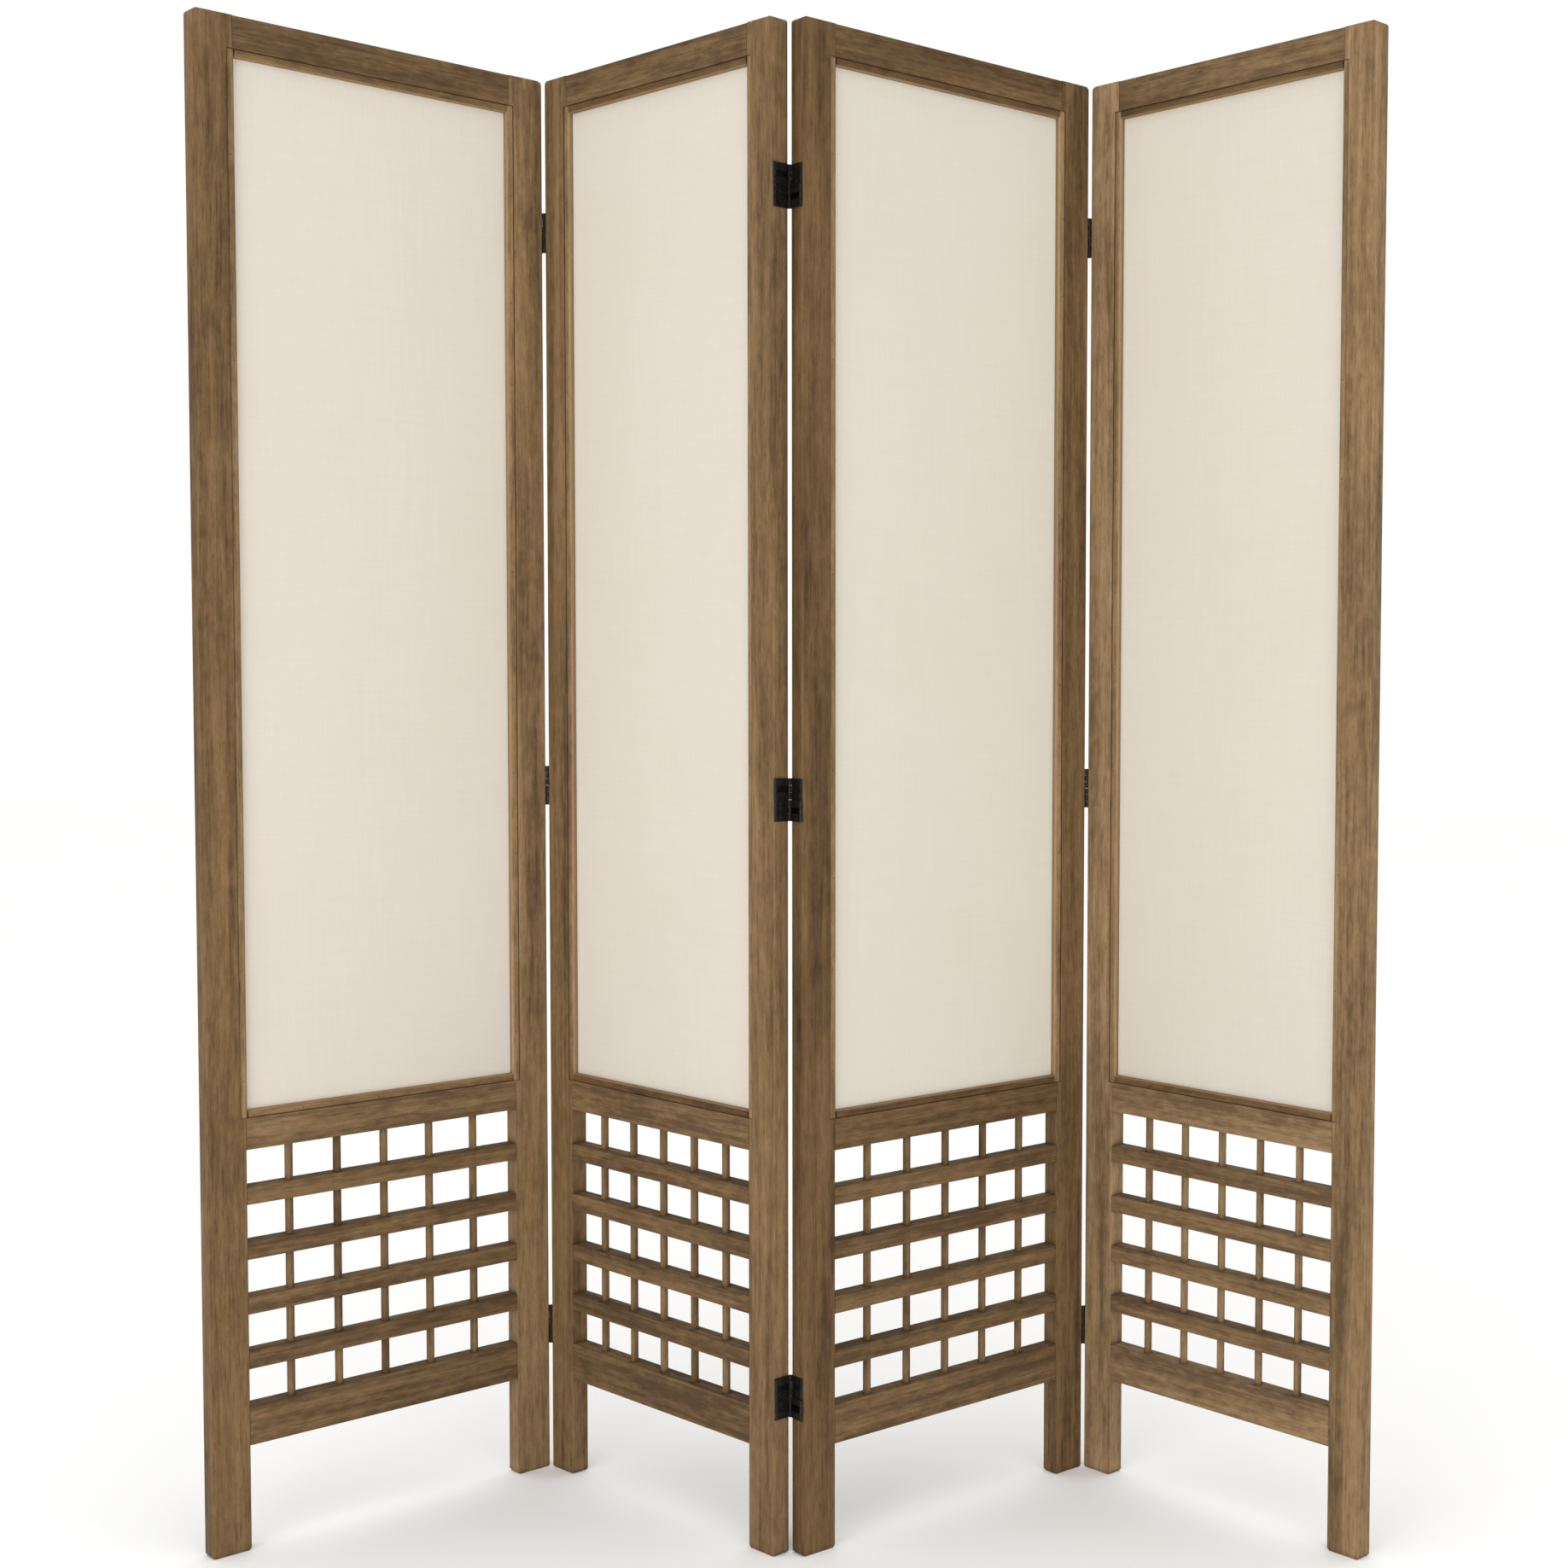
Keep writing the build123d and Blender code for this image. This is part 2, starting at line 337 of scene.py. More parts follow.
# Noise layers of the wood, with scales in cycles to the metre, and their stretch along the grain
GRAIN_SHIFT = 3
SWAY = {"scale": 14, "detail": 2}
SWAY_STRETCH = 0.12
SWAY_WIDTH = 10.0 * MM
BANDS = {"scale": 55, "detail": 3, "rough": 0.55}
STREAKS = {"scale": 260, "detail": 6, "rough": 0.62}
FINE_STRETCH = 0.045
LINES = {"scale": 420, "detail": 3, "rough": 0.55}
LINE_STRETCH = 0.07
MOTTLE = {"scale": 130, "detail": 4, "rough": 0.6}
MOTTLE_STRETCH = 0.4
FLECKS = {"scale": 800, "detail": 3, "rough": 0.6, "twist": 0.4}
FLECK_STRETCH = 0.16
CLOUDS = {"scale": 9, "detail": 3}

# How much each layer counts, and where the tones lie on their sum
BANDS_SHARE = {"upright": 0.55, "level": 0.42, "by_place": 0.55}
STREAKS_SHARE = 0.28
MOTTLE_SHARE = 0.28
CLOUDS_SHARE = 0.14
TONE_START = -0.15
TONES = ((0.34, WOOD_DARK), (0.50, WOOD_MID), (0.66, WOOD_LIGHT))
LINE_EDGES = (0.53, 0.68)
LINE_DEPTH = 0.38
FLECK_EDGES = (0.55, 0.68)
FLECK_DEPTH = 0.30

# Wear and dark joints on the wood, painted shade in its corners and a painted highlight along the bead
# noses
EDGE_WEAR_RADIUS = 1.6 * MM
EDGE_WEAR_CLOUDS = (0.35, 0.65)
EDGE_WEAR = (0.05, 0.30)
SEAM_HALF_WIDTH = 0.2 * MM
SEAM_FADE = 1.1 * MM
SEAM_DEPTH = 0.7
CORNER_REACH = 9.0 * MM
CORNER_SAMPLES = 6
CORNER_OPENNESS = (0.30, 0.92)
CORNER_DEPTH = 0.62
NOSE_HALF_WIDTH = 0.4 * MM
NOSE_FADE = 2.0 * MM
NOSE_HIGHLIGHT = 0.45
WOOD_GLOSS = 0.22
WOOD_STREAKS = (0.3, 0.7)
WOOD_ROUGHNESS = (0.80, 0.64)
WOOD_GROOVES = -0.8
WOOD_BUMP = 0.25
WOOD_RELIEF = 0.25 * MM


def panel_place(tree, number):
    """Panel space as a vector socket, for a node that holds row space."""
    turn = -math.radians(PANEL_TURNS[number - 1])
    centre = Matrix.Rotation(turn, 3, "Z") @ panel_centre(number)
    mapping = add(tree, "ShaderNodeMapping")
    mapping.inputs["Rotation"].default_value = (0, 0, turn)
    mapping.inputs["Location"].default_value = (-centre.x, -centre.y, 0)
    join(tree, add(tree, "ShaderNodeTexCoord").outputs["Object"], mapping.inputs["Vector"])
    return mapping.outputs["Vector"]


def along_grain(tree, place, grain):
    """Grain space: z runs along the grain. Beads lie level between the upright ones."""
    parts = add(tree, "ShaderNodeSeparateXYZ")
    join(tree, place, parts.inputs[0])
    x, y, z = parts.outputs
    upright = add(tree, "ShaderNodeCombineXYZ")
    level = add(tree, "ShaderNodeCombineXYZ")
    for socket, source in zip(upright.inputs, (x, y, z)):
        join(tree, source, socket)
    for socket, source in zip(level.inputs, (z, y, x)):
        join(tree, source, socket)
    if grain == "upright":
        return upright.outputs[0], x, None
    if grain == "level":
        return level.outputs[0], x, None
    inside = PANEL_WIDTH / 2 - STILE + RABBET - BEAD_WIDTH
    is_level = scalar(tree, "LESS_THAN", scalar(tree, "ABSOLUTE", x), inside)
    mix = add(tree, "ShaderNodeMix", data_type="VECTOR")
    join(tree, is_level, mix.inputs[0])
    for index, way in zip(VECTOR_INPUTS, (upright, level)):
        join(tree, way.outputs[0], mix.inputs[index])
    return mix.outputs[VECTOR_OUTPUT], x, is_level


def nose_painted_highlight(tree, place, is_level):
    """How much painted highlight a bead's rounded nose gets: most along its inner edge, and nothing
    away from it.
    """
    parts = add(tree, "ShaderNodeSeparateXYZ")
    join(tree, place, parts.inputs[0])
    middle = (OPENING_LOW + OPENING_HIGH) / 2
    inset = RABBET - BEAD_CLEARANCE - BEAD_WIDTH
    beside = scalar(tree, "SUBTRACT", scalar(tree, "ABSOLUTE", parts.outputs[0]),
                    PANEL_WIDTH / 2 - STILE + inset)
    above = scalar(tree, "SUBTRACT", parts.outputs[2], middle)
    above = scalar(tree, "SUBTRACT", scalar(tree, "ABSOLUTE", above), OPENING_HIGH - middle + inset)
    choose = add(tree, "ShaderNodeMix")
    for socket, value in zip(choose.inputs, (is_level, None, beside, above)):
        if value is not None:
            join(tree, value, socket)
    return remap(tree, choose.outputs[0], NOSE_HALF_WIDTH, NOSE_FADE, NOSE_HIGHLIGHT, 0.0)


GREEN_POWER = 1.16
BLUE_POWER = 1.48


def stain_and_light_tint(stain_and_light):
    """A lighter level, from stain and painted light alike, is also a greyer one."""
    return (stain_and_light, stain_and_light ** GREEN_POWER, stain_and_light ** BLUE_POWER, 1)


def corner_painted_shade(tree):
    """How much painted shade the surface gets from occlusion: most deep in a corner, and none on an
    open face.
    """
    shade = add(tree, "ShaderNodeAmbientOcclusion", samples=CORNER_SAMPLES)
    shade.inputs["Distance"].default_value = CORNER_REACH
    return remap(tree, shade.outputs["AO"], *CORNER_OPENNESS, CORNER_DEPTH, 0.0)


def stretched(tree, place, stretch):
    """A place with what lies there drawn out along the grain."""
    return vector_math(tree, "MULTIPLY", place, (1.0, 1.0, stretch))


def offset_x(tree, value):
    """A vector with a value across the grain."""
    node = add(tree, "ShaderNodeCombineXYZ")
    join(tree, value, node.inputs[0])
    return node.outputs[0]


def bare_wood(tree, grained, grain):
    """The wood's colour before its stain, with its streaks, dark lines and clouds."""
    sway = noise_value(tree, stretched(tree, grained, SWAY_STRETCH), **SWAY)
    sway = scalar(tree, "MULTIPLY_ADD", sway, SWAY_WIDTH, -SWAY_WIDTH / 2)
    swayed = vector_math(tree, "ADD", grained, offset_x(tree, sway))
    fine = stretched(tree, swayed, FINE_STRETCH)
    bands = noise_value(tree, fine, **BANDS)
    streaks = noise_value(tree, fine, **STREAKS)
    lines = noise_value(tree, stretched(tree, swayed, LINE_STRETCH), **LINES)
    mottle = noise_value(tree, stretched(tree, grained, MOTTLE_STRETCH), **MOTTLE)
    flecks = noise_value(tree, stretched(tree, swayed, FLECK_STRETCH), **FLECKS)
    clouds = noise_value(tree, grained, **CLOUDS)
    tone = scalar(tree, "MULTIPLY_ADD", bands, BANDS_SHARE[grain], TONE_START)
    for layer, share in ((streaks, STREAKS_SHARE), (mottle, MOTTLE_SHARE), (clouds, CLOUDS_SHARE)):
        tone = scalar(tree, "MULTIPLY_ADD", layer, share, tone)
    colour = ramp(tree, tone, *TONES)
    dark_lines = remap(tree, lines, *LINE_EDGES, 0.0, LINE_DEPTH)
    colour = blend_colour(tree, "MIX", dark_lines, colour, WOOD_PORE)
    dark_flecks = remap(tree, flecks, *FLECK_EDGES, 0.0, FLECK_DEPTH)
    colour = blend_colour(tree, "MIX", dark_flecks, colour, WOOD_PORE)
    return colour, streaks, dark_lines, clouds


def wood(name, number, grain, seed, stain_and_light, level_bead_painted_shade=None):
    """Stained, lightly weathered wood with its grain along the member; its corners carry painted
    shade, and its beads painted light, shade and a highlight.
    """
    material, tree, surface = shader(name)
    place = panel_place(tree, number)
    grained, across, is_level = along_grain(tree, place, grain)
    rng = random.Random(seed)
    shift = tuple(rng.uniform(-GRAIN_SHIFT, GRAIN_SHIFT) for _ in range(3))
    grained = vector_math(tree, "ADD", grained, shift)
    colour, streaks, dark_lines, clouds = bare_wood(tree, grained, grain)
    soft, edge = worn_edge(tree, EDGE_WEAR_RADIUS)
    rubbed = scalar(tree, "MULTIPLY", edge, remap(tree, clouds, *EDGE_WEAR_CLOUDS, *EDGE_WEAR))
    colour = blend_colour(tree, "MIX", rubbed, colour, WOOD_LIGHT)
    if grain == "level":
        ends = scalar(tree, "SUBTRACT", scalar(tree, "ABSOLUTE", across), PANEL_WIDTH / 2 - STILE)
        seam = remap(tree, scalar(tree, "ABSOLUTE", ends), SEAM_HALF_WIDTH, SEAM_FADE, SEAM_DEPTH, 0.0)
        colour = blend_colour(tree, "MIX", seam, colour, WOOD_PORE)
    tint = stain_and_light_tint(stain_and_light)
    if is_level is not None:
        # Painted shade and light on beads: the level strips are darker, the upright ones lighter.
        tint = blend_colour(tree, "MIX", is_level, tint, stain_and_light_tint(level_bead_painted_shade))
    colour = blend_colour(tree, "MULTIPLY", 1.0, colour, tint)
    # Painted shade: the colour darkens toward the pore colour in corners, from ambient occlusion.
    colour = blend_colour(tree, "MIX", corner_painted_shade(tree), colour, WOOD_PORE)
    if is_level is not None:
        # Painted highlight: a lighter band along each bead's rounded nose.
        colour = blend_colour(tree, "MIX", nose_painted_highlight(tree, place, is_level), colour, WOOD_NOSE_HIGHLIGHT)
    join(tree, colour, surface.inputs["Base Color"])
    roughness = remap(tree, streaks, *WOOD_STREAKS, *WOOD_ROUGHNESS)
    join(tree, roughness, surface.inputs["Roughness"])
    surface.inputs["Specular IOR Level"].default_value = WOOD_GLOSS
    relief = scalar(tree, "MULTIPLY_ADD", dark_lines, WOOD_GROOVES, streaks)
    join(tree, bump(tree, relief, WOOD_BUMP, WOOD_RELIEF, soft), surface.inputs["Normal"])
    return material


CLOTH_LIGHT = linear(216, 209, 198)
CLOTH_MID = linear(212, 204, 192)
CLOTH_SOIL = linear(205, 195, 177)
CLOTH_SHIFT = 2
YARNS = {"scale": 420, "detail": 3, "rough": 0.6}
YARN_STRETCH = 0.03
CLOTH_CLOUDS = {"scale": 4.5, "detail": 4, "rough": 0.6}
CLOTH_TONES = ((0.30, CLOTH_MID), (0.70, CLOTH_LIGHT))
CLOTH_ROUGHNESS = 0.95
CLOTH_GLOSS = 0.12
CLOTH_SHEEN = 0.15
SOIL_EDGES = (0.42, 0.78)
SOIL_DEPTH = 0.15
THREAD_PITCH = 0.7 * MM
THREAD_SHARE = 0.5
YARN_RELIEF = 0.20 * MM
YARN_BUMP = 0.08


def muslin(name, seed, tint):
    """Plain woven cream cotton with uneven yarns."""
    material, tree, surface = shader(name)
    rng = random.Random(seed)
    place = add(tree, "ShaderNodeTexCoord").outputs["Object"]
    shift = tuple(rng.uniform(-CLOTH_SHIFT, CLOTH_SHIFT) for _ in range(3))
    place = vector_math(tree, "ADD", place, shift)
    warp = noise_value(tree, vector_math(tree, "MULTIPLY", place, (1, 1, YARN_STRETCH)), **YARNS)
    weft = vector_math(tree, "MULTIPLY", place, (YARN_STRETCH, YARN_STRETCH, 1))
    yarn = scalar(tree, "ADD", warp, noise_value(tree, weft, **YARNS))
    clouds = noise_value(tree, place, **CLOTH_CLOUDS)
    colour = ramp(tree, scalar(tree, "MULTIPLY", yarn, 0.5), *CLOTH_TONES)
    soil = remap(tree, clouds, *SOIL_EDGES, 0.0, SOIL_DEPTH)
    colour = blend_colour(tree, "MIX", soil, colour, CLOTH_SOIL)
    colour = blend_colour(tree, "MULTIPLY", 1.0, colour, tint)
    join(tree, colour, surface.inputs["Base Color"])
    surface.inputs["Roughness"].default_value = CLOTH_ROUGHNESS
    surface.inputs["Specular IOR Level"].default_value = CLOTH_GLOSS
    surface.inputs["Sheen Weight"].default_value = CLOTH_SHEEN
    threads = scalar(tree, "MULTIPLY", weave(tree, place, 0), weave(tree, place, 2))
    height = scalar(tree, "MULTIPLY_ADD", threads, THREAD_SHARE, yarn)
    join(tree, bump(tree, height, YARN_BUMP, YARN_RELIEF), surface.inputs["Normal"])
    return material


def weave(tree, place, axis):
    """Threads across one axis of a sheet, about 14 to the centimetre."""
    parts = add(tree, "ShaderNodeSeparateXYZ")
    join(tree, place, parts.inputs[0])
    along = parts.outputs[axis]
    return scalar(tree, "SINE", scalar(tree, "MULTIPLY", along, 2 * math.pi / THREAD_PITCH))


METAL_DARK = linear(11, 8, 6)
METAL_LIGHT = linear(25, 19, 15)
METAL_WORN_AND_REFLECTED = linear(92, 66, 44)
METAL_GRIME = {"scale": 220, "detail": 4, "rough": 0.6}
METAL_TONES = ((0.35, METAL_DARK), (0.75, METAL_LIGHT))
METAL_EDGE = 0.5 * MM
METAL_WEAR_AND_REFLECTION_EDGES = (0.4, 0.6)
METAL_WEAR_AND_REFLECTION = 0.7
METAL_STREAKS = (0.3, 0.7)
METAL_ROUGHNESS = (0.34, 0.50)
METAL_GLOSS = 0.32
METAL_RELIEF = 0.1 * MM
METAL_BUMP = 0.15


def black_metal(name):
    """Black paint, brown along its edges: partly rubbed paint and partly a painted reflection of the
    wood.
    """
    material, tree, surface = shader(name)
    place = add(tree, "ShaderNodeTexCoord").outputs["Object"]
    grime = noise_value(tree, place, **METAL_GRIME)
    soft, edge = worn_edge(tree, METAL_EDGE)
    colour = ramp(tree, grime, *METAL_TONES)
    # Brown along the edges: partly wear and partly a painted reflection of the wood.
    worn_and_reflected = remap(tree, grime, *METAL_WEAR_AND_REFLECTION_EDGES, 0.0, METAL_WEAR_AND_REFLECTION)
    rubbed = scalar(tree, "MULTIPLY", edge, worn_and_reflected)
    colour = blend_colour(tree, "MIX", rubbed, colour, METAL_WORN_AND_REFLECTED)
    join(tree, colour, surface.inputs["Base Color"])
    roughness = remap(tree, grime, *METAL_STREAKS, *METAL_ROUGHNESS)
    join(tree, roughness, surface.inputs["Roughness"])
    surface.inputs["Specular IOR Level"].default_value = METAL_GLOSS
    join(tree, bump(tree, grime, METAL_BUMP, METAL_RELIEF, soft), surface.inputs["Normal"])
    return material


FILLER_DARK = linear(30, 21, 14)
FILLER_LIGHT = linear(58, 41, 27)
FILLER_TONES = ((0.3, FILLER_DARK), (0.7, FILLER_LIGHT))
FILLER_FLECK = {"scale": 900, "detail": 2}
FILLER_ROUGHNESS = 0.8


def dark_hole(name):
    """The stained filler in a brad hole."""
    material, tree, surface = shader(name)
    place = add(tree, "ShaderNodeTexCoord").outputs["Object"]
    fleck = noise_value(tree, place, **FILLER_FLECK)
    join(tree, ramp(tree, fleck, *FILLER_TONES), surface.inputs["Base Color"])
    surface.inputs["Roughness"].default_value = FILLER_ROUGHNESS
    return material


FLOOR_SHADE = (0.955, 0.955, 0.95, 1)
FLOOR_WHITE = (0.97, 0.97, 0.965, 1)
FLOOR_TONES = ((0.2, FLOOR_SHADE), (0.8, FLOOR_WHITE))
FLOOR_CLOUDS = {"scale": 1.5, "detail": 2}
FLOOR_ROUGHNESS = 0.9
FLOOR_GLOSS = 0.1


def pale_floor(name):
    """A plain, nearly white studio floor."""
    material, tree, surface = shader(name)
    place = add(tree, "ShaderNodeTexCoord").outputs["Object"]
    faint = noise_value(tree, place, **FLOOR_CLOUDS)
    join(tree, ramp(tree, faint, *FLOOR_TONES), surface.inputs["Base Color"])
    surface.inputs["Roughness"].default_value = FLOOR_ROUGHNESS
    surface.inputs["Specular IOR Level"].default_value = FLOOR_GLOSS
    return material


# Frame members

GRAIN = {
    "left_stile": "upright", "right_stile": "upright", "top_rail": "level",
    "mid_rail": "level", "bottom_rail": "level", "lattice_slats": "level",
}

# A wood's seed is its panel's number times PANEL_SEEDS, plus the member's order or one of these
PANEL_SEEDS = 100
ROD_SEED = 50
BEAD_SEED = 60

# How light a member is made, from darkest to lightest: partly the stain it took and partly painted
# light and shade
DEEP, DARK, PLAIN, LIGHT, PALE = 0.78, 0.98, 1.15, 1.42, 1.70

# The usual tone of each kind of piece, and the members made otherwise. The beads carry painted light
# and shade: upright beads lighter as if lit, level beads darker as if shaded by the rails.
BEAD_PAINTED_LIGHT_AND_SHADE = {"beads": LIGHT, "level_beads": DEEP}
# Each member's own tone: partly its stain and partly painted light, as on the lighter panel 4.
OWN_STAIN_AND_PAINTED_LIGHT = {
    (1, "left_stile"): DARK, (1, "right_stile"): LIGHT, (1, "mid_rail"): LIGHT,
    (1, "level_beads"): PLAIN, (2, "mid_rail"): LIGHT,
    (3, "left_stile"): DEEP, (3, "right_stile"): DARK, (3, "top_rail"): DARK, (3, "mid_rail"): DARK,
    (4, "left_stile"): PALE, (4, "right_stile"): LIGHT, (4, "top_rail"): LIGHT,
    (4, "mid_rail"): PALE, (4, "bottom_rail"): PALE, (4, "lattice_slats"): LIGHT, (4, "rods"): LIGHT,
}


def stain_and_painted_light_of(number, part):
    """How light a part of a panel is."""
    return OWN_STAIN_AND_PAINTED_LIGHT.get((number, part), BEAD_PAINTED_LIGHT_AND_SHADE.get(part, PLAIN))


def finish_wood(number):
    """Wood on every frame node of a panel, each with its own piece of grain."""
    for order, (part, grain) in enumerate(GRAIN.items()):
        node = nodes[f"panel_{number}_{part}"]
        material = wood(f"wood_{number}_{part}", number, grain, PANEL_SEEDS * number + order,
                        stain_and_painted_light_of(number, part))
        node.data.materials.clear()
        node.data.materials.append(material)


ROD_RINGS = 24
ROD_SIDES = 24
ROD_THINNING = 0.015
ROD_WAVES = 18
PHASE_RANGE = 100


def round_rod(bm, x, rng):
    """One turned rod whose thickness wanders a little along its length."""
    phase = rng.uniform(0, PHASE_RANGE)
    profile = []
    for ring in range(ROD_RINGS + 1):
        z = ROD_LOW + (ROD_HIGH - ROD_LOW) * ring / ROD_RINGS
        wander = noise.noise(Vector((phase, 0, z * ROD_WAVES)))
        profile.append((ROD_RADIUS * (1 - ROD_THINNING + ROD_THINNING * wander), z))
    turned_form(bm, x, PANEL_DEPTH / 2, profile, ROD_SIDES)


def make_rods(number):
    """The round lattice rods of a panel."""
    bm = bmesh.new()
    opening = PANEL_WIDTH - 2 * STILE
    spacing = (opening + 2 * ROD_RADIUS) / (ROD_COUNT + 1)
    rng = random.Random(number)
    for k in range(ROD_COUNT):
        x = -opening / 2 - ROD_RADIUS + (k + 1) * spacing
        round_rod(bm, x, rng)
    bm.transform(panel_matrix(number))
    material = wood(f"wood_{number}_rods", number, "upright", PANEL_SEEDS * number + ROD_SEED,
                    stain_and_painted_light_of(number, "rods"))
    rods = new_piece(f"rods_{number}", bm, material, f"panel_{number}")
    smooth_by_angle(rods)
    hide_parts(f"panel_{number}_lattice_rods")


# Fabric

SHEET_COLUMNS = 48
SHEET_ROWS = 150
SHEET_RIPPLE = 0.7 * MM
SHEET_HELD = 2.0 * MM
SHEET_FREE = 60.0 * MM
RIPPLES_ACROSS = 7
RIPPLES_UP = 3
RIPPLE_STEP = 3.7


def sheet_depth(x, z, half, low, high, seed):
    """How far the taut sheet wanders at a point; nothing at its held border."""
    border = min(half - abs(x), z - low, high - z) - RABBET - SHEET_HELD
    free = min(max(border / SHEET_FREE, 0.0), 1.0)
    free = free * free * (3 - 2 * free)
    place = Vector((x * RIPPLES_ACROSS, seed * RIPPLE_STEP, z * RIPPLES_UP))
    return free * SHEET_RIPPLE * noise.noise(place)


def make_sheet(number, tint):
    """The stretched fabric of a panel: a thin sheet, closed round its border."""
    half = PANEL_WIDTH / 2 - STILE + RABBET - FABRIC_INSET
    low = OPENING_LOW - RABBET + FABRIC_INSET
    high = OPENING_HIGH + RABBET - FABRIC_INSET
    bm = bmesh.new()
    sides = []
    for y in (FABRIC_FRONT, FABRIC_BACK):
        grid = []
        for row in range(SHEET_ROWS + 1):
            z = low + (high - low) * row / SHEET_ROWS
            line = []
            for column in range(SHEET_COLUMNS + 1):
                x = -half + 2 * half * column / SHEET_COLUMNS
                depth = y + sheet_depth(x, z, half, low, high, number)
                line.append(bm.verts.new((x, depth, z)))
            grid.append(line)
        sides.append(grid)
        for row in range(SHEET_ROWS):
            for column in range(SHEET_COLUMNS):
                bm.faces.new((grid[row][column], grid[row][column + 1],
                              grid[row + 1][column + 1], grid[row + 1][column]))
    front, back = (sheet_border(grid) for grid in sides)
    ring_faces(bm, front, back)
    bm.transform(panel_matrix(number))
    material = muslin(f"muslin_{number}", number, tint)
    sheet = new_piece(f"fabric_{number}", bm, material, f"panel_{number}", smooth=True)
    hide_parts(f"panel_{number}_fabric")


def sheet_border(grid):
    """The points round a grid, in order."""
    border = list(grid[0])
    border += [line[-1] for line in grid[1:]]
    border += list(reversed(grid[-1][:-1]))
    border += [line[0] for line in reversed(grid[1:-1])]
    return border


# Beads


ARC_STEPS = 8


def bead_profile():
    """Across and depth of a bead's outline, from its outer edge to its round nose."""
    points = [(0.0, BEAD_BACK)]
    for centre, radius, start in (((BEAD_ARRIS, BEAD_FACE + BEAD_ARRIS), BEAD_ARRIS, 180),
                                  ((BEAD_WIDTH - BEAD_NOSE, BEAD_FACE + BEAD_NOSE), BEAD_NOSE, 270)):
        for step in range(ARC_STEPS + 1):
            angle = math.radians(start + 90 * step / ARC_STEPS)
            points.append((centre[0] + radius * math.cos(angle), centre[1] + radius * math.sin(angle)))
    points.append((BEAD_WIDTH, BEAD_BACK))
    return points


def make_beads(number):
    """The four bead strips of a panel: two upright, and two level between them.

    Each place moves a strip from upright at the origin, its nose at +x.
    """
    half = PANEL_WIDTH / 2 - STILE + RABBET - BEAD_CLEARANCE
    low = OPENING_LOW - RABBET + BEAD_CLEARANCE
    high = OPENING_HIGH + RABBET - BEAD_CLEARANCE
    inside = half - BEAD_WIDTH - BEAD_JOINT
    flip = Matrix.Scale(-1, 4, (1, 0, 0))
    quarter = Matrix.Rotation(math.pi / 2, 4, "Y")
    places = (
        (Matrix.Translation((-half, 0, low)), high - low),
        (Matrix.Translation((half, 0, low)) @ flip, high - low),
        (Matrix.Translation((-inside, 0, high)) @ quarter, 2 * inside),
        (Matrix.Translation((-inside, 0, low)) @ quarter @ flip, 2 * inside),
    )
    bm = bmesh.new()
    for place, length in places:
        prism(bm, bead_profile(), 0, length, place)
    bm.transform(panel_matrix(number))
    # Upright beads take painted light and level beads painted shade.
    material = wood(f"wood_{number}_beads", number, "by_place", PANEL_SEEDS * number + BEAD_SEED,
                    stain_and_painted_light_of(number, "beads"), stain_and_painted_light_of(number, "level_beads"))
    beads = new_piece(f"beads_{number}", bm, material, f"panel_{number}")
    smooth_by_angle(beads)
    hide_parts(f"panel_{number}_bead_strips")


# Brads in the beads

BRAD_RADIUS = 0.75 * MM
BRAD_PROUD = 0.05 * MM
BRAD_STEP = 118.0 * MM
BRAD_SIDES = 10
BRAD_LINE = 0.42 * BEAD_WIDTH
BRAD_SEED = 40
FIRST_BRAD = 45.0 * MM
LAST_BRAD = 20.0 * MM
BRAD_STRAY_ACROSS = 1.0 * MM
BRAD_STRAY_ALONG = 14.0 * MM
LEVEL_BRADS = (-0.33, 0.0, 0.33)
LEVEL_STRAY = 0.04


def brad(bm, x, z):
    """A small round mark on the face of a bead."""
    centre = bm.verts.new((x, BEAD_FACE - BRAD_PROUD, z))
    ring = []
    for side in range(BRAD_SIDES):
        angle = 2 * math.pi * side / BRAD_SIDES
        ring.append(bm.verts.new((x + BRAD_RADIUS * math.cos(angle), BEAD_FACE,
                                  z + BRAD_RADIUS * math.sin(angle))))
    for side in range(BRAD_SIDES):
        bm.faces.new((centre, ring[side], ring[(side + 1) % BRAD_SIDES]))
    bm.faces.new(ring)


def make_brads(number, material):
    """The brads that pin the beads, at uneven steps."""
    rng = random.Random(BRAD_SEED + number)
    bm = bmesh.new()
    line = PANEL_WIDTH / 2 - STILE + RABBET - BRAD_LINE
    z = OPENING_LOW + FIRST_BRAD
    while z < OPENING_HIGH - LAST_BRAD:
        for side in (-1, 1):
            x = side * (line + rng.uniform(-BRAD_STRAY_ACROSS, BRAD_STRAY_ACROSS))
            brad(bm, x, z + rng.uniform(-BRAD_STRAY_ALONG, BRAD_STRAY_ALONG))
        z += BRAD_STEP
    for place in LEVEL_BRADS:
        for level in (OPENING_LOW - RABBET + BRAD_LINE, OPENING_HIGH + RABBET - BRAD_LINE):
            share = place + rng.uniform(-LEVEL_STRAY, LEVEL_STRAY)
            brad(bm, share * (PANEL_WIDTH - 2 * STILE), level)
    bm.transform(panel_matrix(number))
    brads = new_piece(f"brads_{number}", bm, material, f"panel_{number}")


# Hinges

